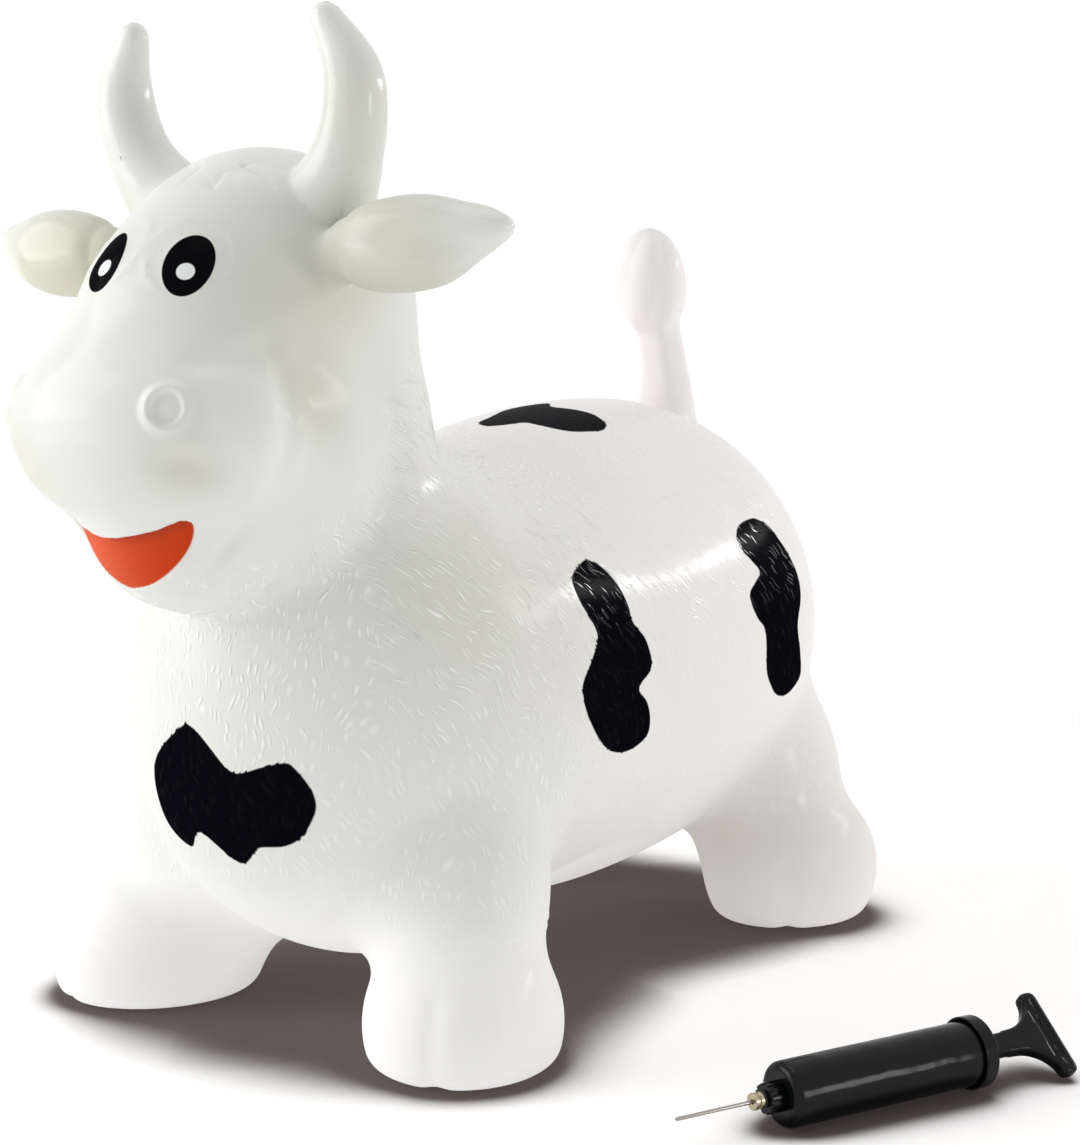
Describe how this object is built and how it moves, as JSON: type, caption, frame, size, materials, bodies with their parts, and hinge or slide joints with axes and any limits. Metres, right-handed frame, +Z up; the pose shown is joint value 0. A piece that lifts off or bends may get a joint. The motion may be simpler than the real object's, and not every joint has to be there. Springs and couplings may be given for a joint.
{
  "type": "inflatable bouncing ride-on animal with hand pump",
  "caption": "Inflatable bouncing cow for a small child to ride, with horns to hold, four stub legs, a valve under the belly, and a small T-handled hand pump with a ball needle.",
  "frame": {"origin": "on the floor, under the middle of the box of the whole set (cow and pump)", "axes": "+Z up, the cow faces -Y and its left side is towards +X, where the pump lies"},
  "size_m": [0.5668, 0.6046, 0.5431],
  "materials": {
    "vinyl": "glossy pearl white soft vinyl with painted black spots",
    "white_rubber": "matt white rubber",
    "black_plastic": "glossy black moulded plastic",
    "black_rubber": "matt black rubber",
    "brass": "bright turned brass",
    "steel": "drawn steel tube"
  },
  "bodies": {
    "base": {"skin": "vinyl", "valve": "white_rubber", "pump_barrel": "black_plastic", "pump_collar": "black_plastic", "pump_nose": "black_plastic", "needle_washer": "black_rubber", "needle_foot": "brass", "needle": "steel"},
    "plunger_unit": {"plunger": "black_plastic", "piston": "black_plastic", "piston_ring": "black_rubber"},
    "plug": {"valve_plug": "white_rubber"}
  },
  "joints": [
    {"name": "plunger_pull", "type": "slide", "parent": "base", "child": "plunger_unit", "axis": [0.4328, 0.9013, 0.0197], "range_m": [0, 0.093]},
    {"name": "plug_pull", "type": "slide", "parent": "base", "child": "plug", "axis": [0, 0, -1], "range_m": [0, 0.011]}
  ]
}
